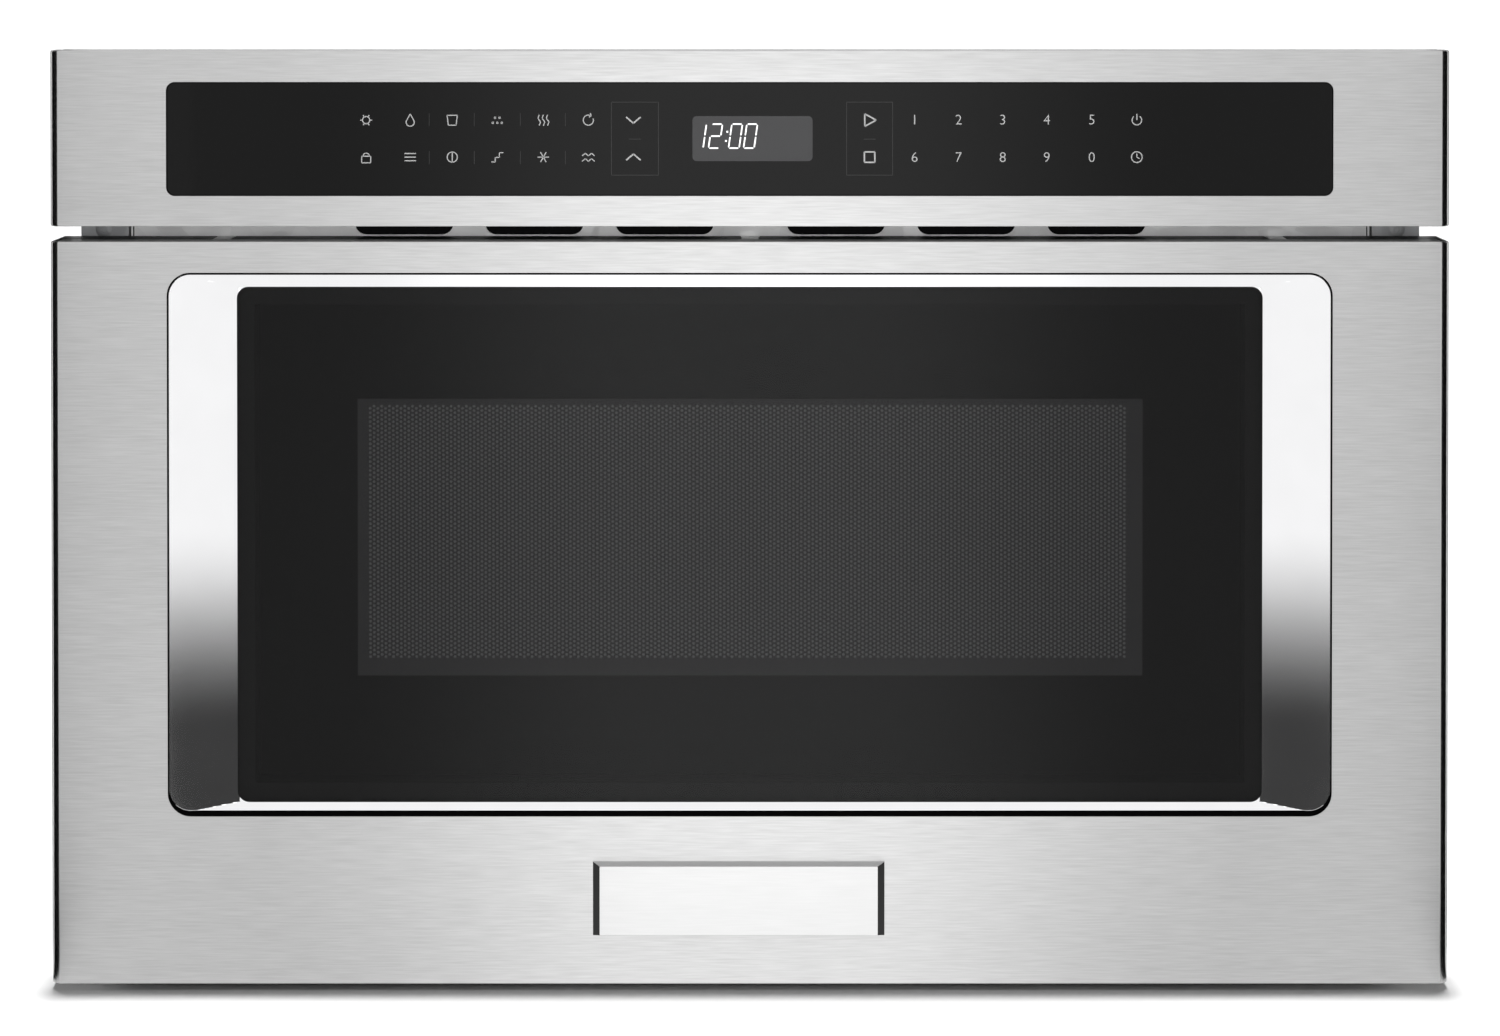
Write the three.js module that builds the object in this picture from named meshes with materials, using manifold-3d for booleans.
// Under-counter microwave drawer for a cabinet opening about 562 mm wide. Sizes in millimetres.
// +Z is up, the front faces -Y, and the drawer opens towards -Y. The origin is the middle of the
// bounding box at shelf level. Front pieces are laid out from the face plane, and the pieces of
// the chassis from the front of its frame plate; every height is measured from the shelf.

import * as THREE from 'three';
import { mergeVertices } from 'three/addons/utils/BufferGeometryUtils.js';
import Module from 'manifold-3d';

const wasm = await Module();
wasm.setup();

// ---------------------------------------------------------------- driving dimensions

// Front panels
const PANEL_WIDTH = 606.4;          // both front panels
const DRAWER_FRONT_HEIGHT = 322.5;
const CONTROL_PANEL_HEIGHT = 76.7;
const PANEL_GAP = 6.1;              // open joint between the two panels
const PANEL_LIFT = 2.5;             // lower edge above the shelf
const PANEL_DEPTH = 35;             // face to back of the panels
const EDGE_RADIUS = 4;              // rolled vertical edges
const SKIN = 1.2;                   // stainless sheet
const SKIN_RETURN = 14;             // depth of the folded-back rim
const TAB_WIDTH = 7.4;              // rim tabs that clip over the inner frame
const TAB_SPACING = 231;
const FRAME_INSET = 0.4;            // plastic frames inside the skin's outline, each side
const FRAME_WALL = 12;
const CARRIER_WALL = 3;
const PLATE_GAP = 0.8;              // panels to chassis

// Drawer window
const BEZEL_SIDE_MARGIN = 51.3;     // panel edge to bezel
const BEZEL_TOP_MARGIN = 14.1;
const BEZEL_BOTTOM_MARGIN = 73.4;
const BEZEL_RADIUS = 9.5;
const BEZEL_SEAM = 0.6;
const LIP_WIDTH = 2.6;              // rounded outer lip of the bezel
const LIP_PROUD = 1.2;
const SLOPE_SIDE = 29.4;            // bezel outline to glass opening
const SLOPE_TOP = 6.5;
const SLOPE_BOTTOM = 5.5;
const GLASS_RADIUS = 5;
const GLASS_RECESS = 3;             // face plane to glass
const GLASS_THICKNESS = 4;
const GLASS_HOLD = 2.6;             // glass hidden behind the bezel
const BEZEL_FLANGE = 4;             // bezel hidden behind the skin
const SCREEN_WIDTH = 344.5;
const SCREEN_HEIGHT = 121.6;
const SCREEN_THICKNESS = 0.8;
const SCREEN_LAP = 7;               // screen over the back plate's opening

// Badge plate, left bare
const BADGE_WIDTH = 126.5;
const BADGE_HEIGHT = 32;
const BADGE_PROUD = 2.8;
const BADGE_SIDE_BEVEL = 3;
const BADGE_EDGE_BEVEL = 1;
const BADGE_OFFSET = -4.8;
const BADGE_CENTRE = 37.3;          // above the drawer front's lower edge

// Control panel
const CONTROL_GLASS_SIDE = 50.8;    // panel edge to control glass
const CONTROL_GLASS_EDGE = 13.9;
const CONTROL_GLASS_RADIUS = 3.5;
const CONTROL_GLASS_THICKNESS = 3;
const CONTROL_GLASS_SINK = 0.2;
const DISPLAY_WIDTH = 62;
const DISPLAY_HEIGHT = 28;
const CARRIER_LEDGE = 6;            // carrier behind the edge of the control glass
const BOARD = 1.6;                  // circuit board thickness
const RELAY_WIDTH = 18;
const RELAY_HEIGHT = 16;
const RELAY_DEPTH = 14;
const CAPACITOR_RADIUS = 6;
const CAPACITOR_DEPTH = 12;
const CONNECTOR_WIDTH = 60;
const CONNECTOR_HEIGHT = 10;
const CONNECTOR_DEPTH = 8;
const PANEL_BRACKET_WIDTH = 60;

// Chassis
const CHASSIS_DEPTH = 548;          // frame plate to rear panel
const CHASSIS_INSET = 29.2;         // chassis side inside the panel edge
const CHASSIS_RISE = 40.9;          // chassis top above the open joint
const FLANGE_INSET = 7.8;           // mounting flange inside the panel edge
const FLANGE_RETURN = 30;
const FLANGE_HOLE_RADIUS = 2.5;
const SHEET = 1;                    // chassis sheet
const PLATE = 1.2;                  // frame plate, flanges and door plate
const PAN_FLANGE = 20;
const FOOT_HEIGHT = 4;
const FOOT_RADIUS = 12;
const FOOT_INSET = 45;
const GLAND_PROUD = 4;
const GLAND_RADIUS = 11;

// Cavity and drawer tub
const SIDE_SPACE = 47.8;            // cavity side to chassis side
const BASE_SPACE = 92;              // under the cavity, for rails and drive
const CAVITY_HEADROOM = 35;         // ceiling below the drawer front's top
const REAR_SPACE = 129.8;           // behind the cavity, for the microwave generator
const CAVITY_FLANGE = 12;
const TUB_SIDE_GAP = 5;
const TUB_FLOOR_GAP = 4;
const TUB_RIM_GAP = 7.5;
const TUB_REAR_GAP = 8;
const TUB_SHEET = 1.2;
const TUB_FLANGE = 10;
const SHELF_THICKNESS = 6;
const SHELF_RADIUS = 10;
const CHOKE_WIDTH = 24;             // plastic ring over the microwave choke
const CHOKE_GAP = 1;

// Oven lamp
const LAMP_HOLE_PITCH = 7;
const LAMP_HOLE_RADIUS = 2;
const LAMP_SETBACK = 60;            // in front of the cavity's rear wall
const LAMP_DROP = 40;               // below the cavity's ceiling
const SOCKET_LENGTH = 20;
const SOCKET_WIDTH = 18;
const BULB_RADIUS = 8;

// Boards on the base pan behind the cavity
const BOARD_HEIGHT = 8;             // underside above the pan
const LEG_RADIUS = 3;
const LEG_INSET = 5;
const INVERTER_WIDTH = 170;
const INVERTER_MARGIN = 14;
const SINK_START = 98;              // heat sink from the board's left edge
const SINK_WIDTH = 54;
const SINK_BASE = 4;
const SINK_FINS = 7;
const SINK_FIN_PITCH = 8;
const SINK_FIN_WIDTH = 2;
const SINK_FIN_HEIGHT = 34;
const TRANSFORMER_WIDTH = 50;
const TRANSFORMER_LENGTH = 48;
const TRANSFORMER_HEIGHT = 44;
const FILM_RADIUS = 9;
const FILM_HEIGHT = 30;
const FILM_PLACE = 80;
const FILM_PITCH = 28;
const FILTER_WIDTH = 80;
const FILTER_MARGIN = 20;
const FILTER_LENGTH = 73.8;
const CHOKE_COIL_RADIUS = 15;
const CHOKE_COIL_HEIGHT = 14;
const FILTER_BLOCK_WIDTH = 22;
const FILTER_BLOCK_LENGTH = 24;
const FILTER_BLOCK_HEIGHT = 16;
const FUSE_RADIUS = 5;
const FUSE_LENGTH = 54;

// Stirrer and waveguide
const STIRRER_RECESS = 160;
const STIRRER_RECESS_HEIGHT = 20;
const STIRRER_RADIUS = 66;
const STIRRER_COVER_LAP = 8;
const FEED_WIDTH = 70;
const WAVEGUIDE_WIDTH = 84;
const WAVEGUIDE_HEIGHT = 34;
const STIRRER_MOTOR_RADIUS = 25;
const STIRRER_MOTOR_HEIGHT = 20;
const STIRRER_SHAFT = 3;

// Magnetron
const MAGNETRON_WIDTH = 95;
const MAGNETRON_LENGTH = 80;
const MAGNETRON_HEIGHT = 84;
const MAGNETRON_FINS = 6;
const ANTENNA_RADIUS = 9;
const ANTENNA_HEIGHT = 24;

// Telescopic rails and drive
const DRAWER_TRAVEL = 381;
const RAIL_LENGTH = 480;
const RAIL_HEIGHT = 42;
const RAIL_DEPTH = 12.7;
const RAIL_WALL = 1.5;
const RAIL_LIP = 3.5;
const RAIL_CLEARANCE = 0.5;
const RAIL_CENTRE = 44;             // height of the rails' centre line
const RAIL_INSET = 21;              // rail back inside the chassis side
const SLOT_CLEARANCE = 2;
const GEAR_MODULE = 2;
const PINION_TEETH = 16;
const PINION_WIDTH = 10;
const PINION_CENTRE = 30;           // height of the pinion's axis
const PINION_SETBACK = 24;          // pinion axis behind the frame plate
const PRESSURE_ANGLE = 20 * Math.PI / 180;
const ADDENDUM = 0.85 * GEAR_MODULE;
const DEDENDUM = 1.25 * GEAR_MODULE;
const BACKLASH = 0.3;
const RACK_WIDTH = 8;
const RACK_BODY = 12;
const MOTOR_RADIUS = 18;
const MOTOR_LENGTH = 46;
const MOTOR_SHAFT = 3;
const GEARBOX_WIDTH = 28;
const GEARBOX_LENGTH = 44;

// Latches and interlock switches
const HOOK_INSET = 12;              // hook centre inside the chassis side
const HOOK_THICKNESS = 3;
const HOOK_HEIGHT = 14;
const HOOK_REACH = 38;
const SWITCH_DEPTH = 16;
const SWITCH_LENGTH = 28;
const SWITCH_HEIGHT = 10;
const PLUNGER_RADIUS = 1.6;
const PLUNGER_REACH = 4;
const BRACKET = 2;                  // moulded or folded bracket thickness

// Vents
const VENT_COUNT = 3;               // a side
const VENT_WIDTH = 43.4;
const VENT_HEIGHT = 12;
const VENT_PITCH = 57.5;
const VENT_FIRST = 37.8;
const VENT_RADIUS = 5;
const LOUVRE_COUNT = 8;
const LOUVRE_WIDTH = 62;
const LOUVRE_HEIGHT = 4;
const LOUVRE_PITCH = 10;

// Blower
const BLOWER_RADIUS = 40;
const BLOWER_WIDTH = 52;
const BLOWER_WALL = 1.5;
const BLOWER_GROWTH = 10;           // scroll growth round its lower half
const IMPELLER_RADIUS = 34;
const IMPELLER_BLADES = 20;
const BLOWER_MOTOR_RADIUS = 24;
const BLOWER_MOTOR_LENGTH = 38;
const BLOWER_SHAFT = 3;

const FIT = 0.3;                    // gap between neighbouring pieces
const OVERRUN = 1;                  // cutting bodies run past the faces that they cut
const BITE = 0.2;                   // joined bodies run into each other
const CURVE_STEPS = 3;              // two arc chords each

// ---------------------------------------------------------------- derived places

const FRONT_PROUD = Math.max(BADGE_PROUD, LIP_PROUD);
const PLATE_DEPTH = PANEL_DEPTH + PLATE_GAP;
const OVERALL_DEPTH = FRONT_PROUD + PLATE_DEPTH + CHASSIS_DEPTH + GLAND_PROUD;
const FACE_Y = FRONT_PROUD - OVERALL_DEPTH / 2;
const PLATE_Y = FACE_Y + PLATE_DEPTH;

const DRAWER_BOTTOM = PANEL_LIFT;
const DRAWER_TOP = DRAWER_BOTTOM + DRAWER_FRONT_HEIGHT;
const CONTROL_BOTTOM = DRAWER_TOP + PANEL_GAP;
const CONTROL_TOP = CONTROL_BOTTOM + CONTROL_PANEL_HEIGHT;
const CHASSIS_TOP = CONTROL_BOTTOM + CHASSIS_RISE;
const PAN_TOP = FOOT_HEIGHT + SHEET;

const PANEL_HALF = PANEL_WIDTH / 2;
const CHASSIS_HALF = PANEL_HALF - CHASSIS_INSET;
const FLANGE_HALF = PANEL_HALF - FLANGE_INSET;
const CAVITY_HALF = CHASSIS_HALF - SIDE_SPACE;
const CAVITY_FLOOR = FOOT_HEIGHT + BASE_SPACE;
const CAVITY_CEILING = DRAWER_TOP - CAVITY_HEADROOM;
const CAVITY_REAR = CHASSIS_DEPTH - REAR_SPACE;
const CAVITY_START = PLATE + FIT;
const TUB_HALF = CAVITY_HALF - TUB_SIDE_GAP;
const TUB_FLOOR = CAVITY_FLOOR + TUB_FLOOR_GAP;
const TUB_RIM = CAVITY_CEILING - TUB_RIM_GAP;

const RECESS_CENTRE = CAVITY_START + (CAVITY_REAR - CAVITY_START) / 2;
const RECESS_TOP = CAVITY_CEILING + STIRRER_RECESS_HEIGHT;
const WAVEGUIDE_BOTTOM = RECESS_TOP + SHEET + FIT;
const WAVEGUIDE_TOP = WAVEGUIDE_BOTTOM + WAVEGUIDE_HEIGHT;

const DOOR_PLATE_Y = PANEL_DEPTH - 10.7;
const DOOR_PLATE_REAR = DOOR_PLATE_Y + PLATE;
const DOOR_MOUNT_Y = DOOR_PLATE_REAR + FIT;
const RAIL_X = CHASSIS_HALF - RAIL_INSET;
const HOOK_X = CHASSIS_HALF - HOOK_INSET;
const HOOK_Z = (CAVITY_FLOOR + CAVITY_CEILING) / 2;

const PITCH_RADIUS = GEAR_MODULE * PINION_TEETH / 2;
const RACK_PITCH_Z = PINION_CENTRE + PITCH_RADIUS;

// ---------------------------------------------------------------- shape helpers

const X = new THREE.Vector3(1, 0, 0);
const Y = new THREE.Vector3(0, 1, 0);
const Z = new THREE.Vector3(0, 0, 1);

// A closed geometry as a solid that can be joined and cut.
function solidOf(geometry) {
  const bare = geometry.clone();
  bare.deleteAttribute('normal');
  bare.deleteAttribute('uv');
  const welded = mergeVertices(bare, 1e-4);
  return new wasm.Manifold(new wasm.Mesh({
    numProp: 3,
    vertProperties: new Float32Array(welded.attributes.position.array),
    triVerts: new Uint32Array(welded.index.array),
  }));
}

function geometryOf(solid) {
  const { vertProperties, triVerts } = solid.getMesh();
  const geometry = new THREE.BufferGeometry();
  geometry.setAttribute('position', new THREE.BufferAttribute(vertProperties, 3));
  geometry.setIndex(new THREE.BufferAttribute(triVerts, 1));
  geometry.computeVertexNormals();
  return geometry;
}

// A block given by its two faces on each axis.
function block(x0, x1, y0, y1, z0, z1) {
  const geometry = new THREE.BoxGeometry(x1 - x0, y1 - y0, z1 - z0);
  geometry.translate((x0 + x1) / 2, (y0 + y1) / 2, (z0 + z1) / 2);
  return solidOf(geometry);
}

// A block on one side of the middle: side is 1 on the right and -1 on the left.
function sideBlock(side, inner, outer, y0, y1, z0, z1) {
  return side > 0 ? block(inner, outer, y0, y1, z0, z1) : block(-outer, -inner, y0, y1, z0, z1);
}

// Extrudes a shape drawn in (y, z), (x, z) or (x, y) along the axis that it lacks.
function extrude(shape, axis, from, to) {
  const geometry = new THREE.ExtrudeGeometry(shape, {
    depth: to - from, bevelEnabled: false, curveSegments: CURVE_STEPS,
  });
  if (axis === 'x') {
    geometry.applyMatrix4(new THREE.Matrix4().makeBasis(Y, Z, X));
    geometry.translate(from, 0, 0);
  } else if (axis === 'y') {
    geometry.applyMatrix4(new THREE.Matrix4().makeBasis(X, Z, Y.clone().negate()));
    geometry.translate(0, to, 0);
  } else {
    geometry.translate(0, 0, from);
  }
  return solidOf(geometry);
}

function roundedRect(x0, x1, y0, y1, radius) {
  const shape = new THREE.Shape();
  shape.moveTo(x0 + radius, y0);
  shape.lineTo(x1 - radius, y0);
  shape.absarc(x1 - radius, y0 + radius, radius, -Math.PI / 2, 0);
  shape.lineTo(x1, y1 - radius);
  shape.absarc(x1 - radius, y1 - radius, radius, 0, Math.PI / 2);
  shape.lineTo(x0 + radius, y1);
  shape.absarc(x0 + radius, y1 - radius, radius, Math.PI / 2, Math.PI);
  shape.lineTo(x0, y0 + radius);
  shape.absarc(x0 + radius, y0 + radius, radius, Math.PI, 1.5 * Math.PI);
  return shape;
}

function polygon(points) {
  return new THREE.Shape(points.map(([a, b]) => new THREE.Vector2(a, b)));
}

// A round bar along one axis, centred on (a, b) in the plane across it.
function bar(axis, a, b, radius, from, to, sides = 20) {
  const turn = 2 * Math.PI / sides;
  const points = Array.from({ length: sides }, (_, k) => [
    a + radius * Math.cos(k * turn), b + radius * Math.sin(k * turn),
  ]);
  return extrude(polygon(points), axis, from, to);
}

function join(...solids) {
  return solids.reduce((whole, solid) => whole.add(solid));
}

function cut(solid, ...tools) {
  return tools.reduce((rest, tool) => rest.subtract(tool), solid);
}

// Corner points of a rounded rectangle in (x, z), anticlockwise seen from the front.
function outline(halfWidth, bottom, top, radius) {
  const steps = 2 * CURVE_STEPS;
  const corners = [[1, bottom, -1], [1, top, 0], [-1, top, 1], [-1, bottom, 2]];
  return corners.flatMap(([side, edge, quarter]) => {
    const centreX = side * (halfWidth - radius);
    const centreZ = edge === bottom ? bottom + radius : top - radius;
    return Array.from({ length: steps + 1 }, (_, k) => {
      const angle = (quarter + k / steps) * Math.PI / 2;
      return [centreX + radius * Math.cos(angle), centreZ + radius * Math.sin(angle)];
    });
  });
}

// Skins a list of rings, each { points, y }, from the back of the outer wall to the front.
// A ring that follows the last one back to the first makes a hollow frame, otherwise the
// two ends are capped.
function loft(rings, hollow) {
  const count = rings[0].points.length;
  const positions = rings.flatMap(({ points, y }) => points.flatMap(([x, z]) => [x, y, z]));
  const faces = [];
  const bands = hollow ? rings.length : rings.length - 1;
  for (let i = 0; i < bands; i += 1) {
    const here = i * count;
    const next = ((i + 1) % rings.length) * count;
    for (let j = 0; j < count; j += 1) {
      const k = (j + 1) % count;
      faces.push(here + j, here + k, next + k, here + j, next + k, next + j);
    }
  }
  if (!hollow) {
    const last = (rings.length - 1) * count;
    for (let j = 1; j < count - 1; j += 1) {
      faces.push(0, j + 1, j, last, last + j, last + j + 1);
    }
  }
  const geometry = new THREE.BufferGeometry();
  geometry.setAttribute('position', new THREE.Float32BufferAttribute(positions, 3));
  geometry.setIndex(faces);
  return solidOf(geometry);
}

// ---------------------------------------------------------------- finishes

const finish = (color, roughness, metalness) => () => new THREE.MeshStandardMaterial({
  color, roughness, metalness,
});
const brushedSteel = finish(0xc8c9ca, 0.36, 1);
const mirrorSteel = finish(0xe2e3e4, 0.06, 1);
const zincSteel = finish(0xa9adb0, 0.45, 1);
const enamel = finish(0xb9b9b5, 0.4, 0);
const blackPlastic = finish(0x1b1b1c, 0.55, 0);
const greyPlastic = finish(0x6a6c6e, 0.55, 0);
const blackGlass = finish(0x1f1f1f, 0.06, 0);
const displayGlass = finish(0x525252, 0.3, 0);
const ceramic = finish(0xe9e6df, 0.35, 0);
const satinBadge = finish(0xf0f0f0, 0.3, 1);
const aluminium = finish(0xc4c6c8, 0.4, 1);
const circuitBoard = finish(0x2f6b3c, 0.5, 0);
const mica = finish(0xd9cfae, 0.6, 0);
const rubber = finish(0x202020, 0.85, 0);
const warmGlass = finish(0xf5efd8, 0.1, 0);
const whitePlastic = finish(0xe8e8e4, 0.45, 0);

// ---------------------------------------------------------------- groups

const microwaveDrawer = new THREE.Group();
const chassis = new THREE.Group();
chassis.position.set(0, PLATE_Y, 0);
const controlPanel = new THREE.Group();
controlPanel.position.set(0, FACE_Y, 0);
const drawer = new THREE.Group();
drawer.position.set(0, FACE_Y, 0);
microwaveDrawer.add(chassis, controlPanel, drawer);

function place(group, name, solid, material, position = [0, 0, 0]) {
  const mesh = new THREE.Mesh(geometryOf(solid), material());
  mesh.name = name;
  mesh.position.set(...position);
  group.add(mesh);
}

// ---------------------------------------------------------------- front panels

// Plan outline of a panel skin: square at the back, rolled at the two front edges.
function panelPlan(half, front, back, radius) {
  const shape = new THREE.Shape();
  shape.moveTo(-half, back);
  shape.lineTo(-half, front + radius);
  shape.absarc(-half + radius, front + radius, radius, Math.PI, 1.5 * Math.PI);
  shape.lineTo(half - radius, front);
  shape.absarc(half - radius, front + radius, radius, 1.5 * Math.PI, 2 * Math.PI);
  shape.lineTo(half, back);
  return shape;
}

// A folded stainless skin, open at the back, with a window through its face.
function panelSkin(bottom, top, window) {
  const outside = extrude(panelPlan(PANEL_HALF, 0, SKIN_RETURN, EDGE_RADIUS), 'z', bottom, top);
  const insidePlan = panelPlan(
    PANEL_HALF - SKIN, SKIN, SKIN_RETURN + OVERRUN, EDGE_RADIUS - SKIN,
  );
  const inside = extrude(insidePlan, 'z', bottom + SKIN, top - SKIN);
  return cut(outside, inside, extrude(window, 'y', -OVERRUN, SKIN + OVERRUN));
}

const FRAME_HALF = PANEL_HALF - FRAME_INSET;
const FRAME_Y = SKIN_RETURN + FIT;

// Drawer front skin, with three tabs of its top rim reaching back over the inner frame.
const BEZEL_HALF = PANEL_HALF - BEZEL_SIDE_MARGIN;
const BEZEL_BOTTOM = DRAWER_BOTTOM + BEZEL_BOTTOM_MARGIN;
const BEZEL_TOP = DRAWER_TOP - BEZEL_TOP_MARGIN;

function makeDrawerSkin() {
  const window = roundedRect(
    -BEZEL_HALF - BEZEL_SEAM, BEZEL_HALF + BEZEL_SEAM,
    BEZEL_BOTTOM - BEZEL_SEAM, BEZEL_TOP + BEZEL_SEAM, BEZEL_RADIUS + BEZEL_SEAM,
  );
  const skin = panelSkin(DRAWER_BOTTOM, DRAWER_TOP, window);
  const tabs = [-1, 0, 1].map((k) => block(
    k * TAB_SPACING - TAB_WIDTH / 2, k * TAB_SPACING + TAB_WIDTH / 2,
    SKIN_RETURN - BITE, PANEL_DEPTH - FIT, DRAWER_TOP - SKIN, DRAWER_TOP,
  ));
  return join(skin, ...tabs);
}

// Polished bezel: a rounded lip round a shallow recess that falls to the glass, with a
// hidden flange behind the skin.
const GLASS_HALF = BEZEL_HALF - SLOPE_SIDE;
const GLASS_BOTTOM = BEZEL_BOTTOM + SLOPE_BOTTOM;
const GLASS_TOP = BEZEL_TOP - SLOPE_TOP;

function makeBezel() {
  const outer = (inset, y) => ({
    points: outline(
      BEZEL_HALF - inset, BEZEL_BOTTOM + inset, BEZEL_TOP - inset, BEZEL_RADIUS - inset,
    ),
    y,
  });
  const inner = (grow, y) => ({
    points: outline(
      GLASS_HALF + grow, GLASS_BOTTOM - grow, GLASS_TOP + grow, GLASS_RADIUS + grow,
    ),
    y,
  });
  const flangeFront = SKIN + FIT;
  return loft([
    outer(-BEZEL_FLANGE, flangeFront + PLATE),
    outer(-BEZEL_FLANGE, flangeFront),
    outer(0, flangeFront),
    outer(0, -LIP_PROUD / 4),
    outer(LIP_WIDTH / 5, -LIP_PROUD * 3 / 4),
    outer(LIP_WIDTH * 3 / 5, -LIP_PROUD),
    outer(LIP_WIDTH, -LIP_PROUD * 3 / 4),
    inner(0, GLASS_RECESS),
    inner(GLASS_HOLD + FIT, GLASS_RECESS),
  ], true);
}

function makeWindowGlass() {
  const shape = roundedRect(
    -GLASS_HALF - GLASS_HOLD, GLASS_HALF + GLASS_HOLD,
    GLASS_BOTTOM - GLASS_HOLD, GLASS_TOP + GLASS_HOLD, GLASS_RADIUS + GLASS_HOLD,
  );
  return extrude(shape, 'y', GLASS_RECESS + FIT, GLASS_RECESS + FIT + GLASS_THICKNESS);
}

// Black inner frame: outer wall, web with a window, and a rib that backs the glass.
function makeInnerFrame() {
  const margin = SLOPE_SIDE / 4;
  const webBack = DOOR_PLATE_Y - FIT;
  const bottom = DRAWER_BOTTOM + FRAME_INSET;
  const body = block(-FRAME_HALF, FRAME_HALF, FRAME_Y, PANEL_DEPTH, bottom, DRAWER_TOP);
  const recess = block(
    FRAME_WALL - FRAME_HALF, FRAME_HALF - FRAME_WALL, webBack, PANEL_DEPTH + OVERRUN,
    bottom + FRAME_WALL / 2, DRAWER_TOP - SKIN - FIT - FRAME_WALL / 4,
  );
  const rib = block(
    -GLASS_HALF - GLASS_HOLD, GLASS_HALF + GLASS_HOLD,
    GLASS_RECESS + GLASS_THICKNESS + 2 * FIT, FRAME_Y + BITE,
    GLASS_BOTTOM - GLASS_HOLD, GLASS_TOP + GLASS_HOLD,
  );
  const window = block(
    margin - GLASS_HALF, GLASS_HALF - margin, -OVERRUN, PANEL_DEPTH + OVERRUN,
    GLASS_BOTTOM + margin, GLASS_TOP - margin,
  );
  const notches = [-1, 0, 1].map((k) => block(
    k * TAB_SPACING - TAB_WIDTH / 2 - FIT, k * TAB_SPACING + TAB_WIDTH / 2 + FIT,
    FRAME_Y - OVERRUN, PANEL_DEPTH + OVERRUN, DRAWER_TOP - SKIN - FIT, DRAWER_TOP + OVERRUN,
  ));
  return cut(join(body, rib), recess, window, ...notches);
}

// Door plate, the steel screen in its opening and the plastic ring round the tub.
const SCREEN_Z = (BEZEL_BOTTOM + BEZEL_TOP) / 2;

function screenBlock(lap, y0, y1) {
  return block(
    lap - SCREEN_WIDTH / 2, SCREEN_WIDTH / 2 - lap, y0, y1,
    SCREEN_Z - SCREEN_HEIGHT / 2 + lap, SCREEN_Z + SCREEN_HEIGHT / 2 - lap,
  );
}

function makeDoorPlate() {
  const half = FRAME_HALF - FRAME_WALL - FIT;
  const bottom = DRAWER_BOTTOM + FRAME_INSET + FRAME_WALL / 2 + FIT;
  const top = DRAWER_TOP - SKIN - 2 * FIT - FRAME_WALL / 4;
  const plate = block(-half, half, DOOR_PLATE_Y, DOOR_PLATE_REAR, bottom, top);
  return cut(plate, screenBlock(SCREEN_LAP, DOOR_PLATE_Y - OVERRUN, DOOR_PLATE_REAR + OVERRUN));
}

function makeScreen() {
  return screenBlock(0, DOOR_PLATE_Y - FIT - SCREEN_THICKNESS, DOOR_PLATE_Y - FIT);
}

function makeChokeCover() {
  const ring = (grow, y0, y1) => extrude(roundedRect(
    -TUB_HALF - TUB_FLANGE - grow, TUB_HALF + TUB_FLANGE + grow,
    TUB_FLOOR - TUB_FLANGE - grow, TUB_RIM + TUB_FLANGE + grow, grow,
  ), 'y', y0, y1);
  return cut(
    ring(CHOKE_GAP + CHOKE_WIDTH, DOOR_MOUNT_Y, PANEL_DEPTH - FIT),
    ring(CHOKE_GAP, DOOR_MOUNT_Y - OVERRUN, PANEL_DEPTH + OVERRUN),
  );
}

const TUB_REAR = PLATE_DEPTH + CAVITY_REAR - TUB_REAR_GAP;

// Open-topped tub whose front flange is fixed to the door plate.
function makeTub() {
  const shell = cut(
    block(-TUB_HALF, TUB_HALF, DOOR_MOUNT_Y, TUB_REAR, TUB_FLOOR, TUB_RIM),
    block(
      TUB_SHEET - TUB_HALF, TUB_HALF - TUB_SHEET, DOOR_MOUNT_Y - OVERRUN, TUB_REAR - TUB_SHEET,
      TUB_FLOOR + TUB_SHEET, TUB_RIM + OVERRUN,
    ),
  );
  const flange = cut(
    block(
      -TUB_HALF - TUB_FLANGE, TUB_HALF + TUB_FLANGE, DOOR_MOUNT_Y, DOOR_MOUNT_Y + TUB_SHEET,
      TUB_FLOOR - TUB_FLANGE, TUB_RIM,
    ),
    block(
      BITE - TUB_HALF, TUB_HALF - BITE, DOOR_MOUNT_Y - OVERRUN, DOOR_MOUNT_Y + 2 * TUB_SHEET,
      TUB_FLOOR + BITE, TUB_RIM + OVERRUN,
    ),
  );
  return join(shell, flange);
}

function makeShelf() {
  const half = TUB_HALF - TUB_SHEET - FIT;
  const shape = roundedRect(
    -half, half, DOOR_MOUNT_Y + FIT, TUB_REAR - TUB_SHEET - FIT, SHELF_RADIUS,
  );
  const bottom = TUB_FLOOR + TUB_SHEET + FIT;
  return extrude(shape, 'z', bottom, bottom + SHELF_THICKNESS);
}

function makeBadge() {
  const centre = DRAWER_BOTTOM + BADGE_CENTRE;
  const ring = (side, edge, y) => ({
    points: [[1, -1], [1, 1], [-1, 1], [-1, -1]].map(([a, b]) => [
      BADGE_OFFSET + a * (BADGE_WIDTH / 2 - side), centre + b * (BADGE_HEIGHT / 2 - edge),
    ]),
    y,
  });
  return loft([
    ring(0, 0, 0),
    ring(0, 0, -BADGE_PROUD / 4),
    ring(BADGE_SIDE_BEVEL, BADGE_EDGE_BEVEL, -BADGE_PROUD),
  ], false);
}

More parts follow.
